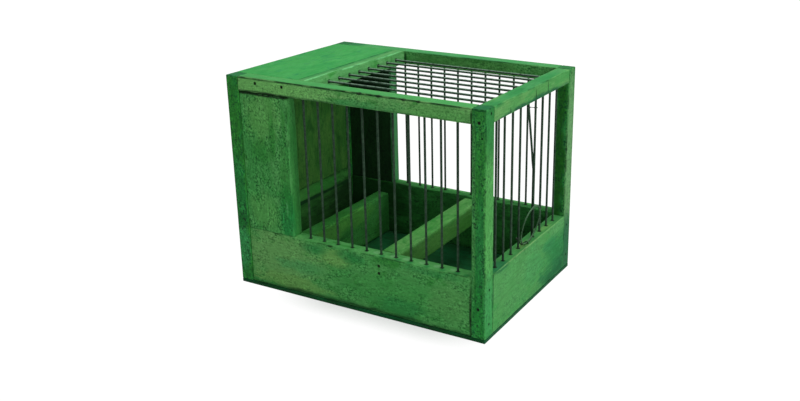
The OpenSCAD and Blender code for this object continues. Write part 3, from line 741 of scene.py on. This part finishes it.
# Nest sill and perch -----------------------------------------------------------------
# Two boards from front to back on edge: the low sill that keeps the nest in its place,
# and the perch, both with their long arrises worn round.
sill = timber("nest_sill", rounding=(2.5, 0.5, 2.5), seed=60)
finish(sill, stain(
    "sill_stain", Y, (0.045, 0.27, 0.05), (0.03, 0.21, 0.03), (0.012, 0.13, 0.018),
    speckle=1.2, seed=200.0, blots=[
        ((59.5, 50, 34), (3, 42, 12), (0.075, 0.29, 0.045), 0.7),
        ((59.5, 112, 42), (3, 30, 14), (0.07, 0.31, 0.045), 0.75),
        ((59.5, 164, 30), (3, 22, 60), (0.008, 0.10, 0.012), 0.85),
        ((52, 40, 58), (9, 30, 3), (0.018, 0.19, 0.05), 0.7)]))
perch = timber("perch", rounding=(3.5, 0.5, 3.5), seed=61)
finish(perch, stain(
    "perch_stain", Y, (0.115, 0.37, 0.09), (0.07, 0.31, 0.06), bottle, speckle=1.0, seed=210.0,
    blots=[
        ((168.5, 70, 44), (3, 200, 12), (0.075, 0.26, 0.045), 0.75),
        ((168.5, 145, 42), (3, 55, 16), (0.035, 0.19, 0.022), 0.8)]))

# Bars --------------------------------------------------------------------------------
# Drawn steel wire, dulled by the stain, that stands in blind holes of the boards and the
# rails; the roof's rods are the same wire. Whatever faces up is painted lighter, as light
# from above.
def dull_metal(name, base, patches, painted_top_light, grain, rough=0.55, metallic=0.0):
    """Old metal whose base colour and patches alternate in noise of the given grain, in
    millimetres, with a painted lighter colour where the surface faces up, which stands in
    for light from above."""
    gloss, rough_range = 0.1, 0.3
    material, shader, place, normal = new_material(name)
    tree = material.node_tree
    upwards = normal.parts()[Z]
    blotch = place.node("ShaderNodeTexNoise", {"Vector": place, "Scale": 1 / (grain * MM),
                                               "Detail": 4.0, "Roughness": 0.65})
    colour = blotch.step(0.42, 0.62).mix(base, patches)
    # Painted light: faces that look up take the lighter colour, in patches, as if lit from above.
    colour = (upwards.step(0.2, 0.9) * blotch.step(0.3, 0.55)).mix(colour, painted_top_light)
    roughness = blotch * rough_range + (rough - rough_range / 2)
    tree.links.new(colour.socket, shader.inputs["Base Color"])
    tree.links.new(roughness.socket, shader.inputs["Roughness"])
    shader.inputs["Specular IOR Level"].default_value = gloss
    shader.inputs["Metallic"].default_value = metallic
    return material


wire = dull_metal("bar_steel", grain=3.0, base=(0.017, 0.043, 0.023),
                  patches=(0.038, 0.078, 0.046), painted_top_light=(0.20, 0.32, 0.23))
for name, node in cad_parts.items():
    if "_bar_" in name or name == "top_rods":
        finish(node, wire)

# Tie wire ----------------------------------------------------------------------------
# Thin bright wire round the sprung bar and the next one, a little under the rail, that
# keeps the two together.
finish(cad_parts["bar_tie"], dull_metal(
    "tie_steel", grain=1.5, metallic=0.3,
    base=(0.10, 0.14, 0.11), patches=(0.05, 0.07, 0.05), painted_top_light=(0.2, 0.25, 0.2)))

# Cup ring ----------------------------------------------------------------------------
# Galvanised wire ring for a seed or water cup. It swings in a stained staple, and a short
# dark wire between it and the next bar keeps its foot from sliding to the front.
finish(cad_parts["cup_ring"], dull_metal(
    "ring_steel", grain=3.0,
    base=(0.05, 0.12, 0.055), patches=(0.015, 0.05, 0.02), painted_top_light=(0.085, 0.19, 0.095)))
finish(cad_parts["ring_staple"], dull_metal(
    "staple_steel", grain=1.0,
    base=(0.05, 0.17, 0.06), patches=(0.02, 0.08, 0.03), painted_top_light=(0.10, 0.28, 0.12)))
finish(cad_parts["ring_hook"], dull_metal(
    "hook_steel", grain=1.0,
    base=(0.012, 0.02, 0.013), patches=(0.03, 0.04, 0.025), painted_top_light=(0.05, 0.07, 0.05)))

# Nails -------------------------------------------------------------------------------
# Small steel wire nails through the posts, the boards, the rails and the floor sheet.
# Their blackened heads are sunk below the wood's faces.
black = dull_metal("nail_steel", grain=0.6, rough=0.8, base=(0.003, 0.008, 0.003),
                   patches=(0.012, 0.010, 0.006), painted_top_light=(0.01, 0.02, 0.01))
for name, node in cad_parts.items():
    if name.startswith("nails"):
        finish(node, black)
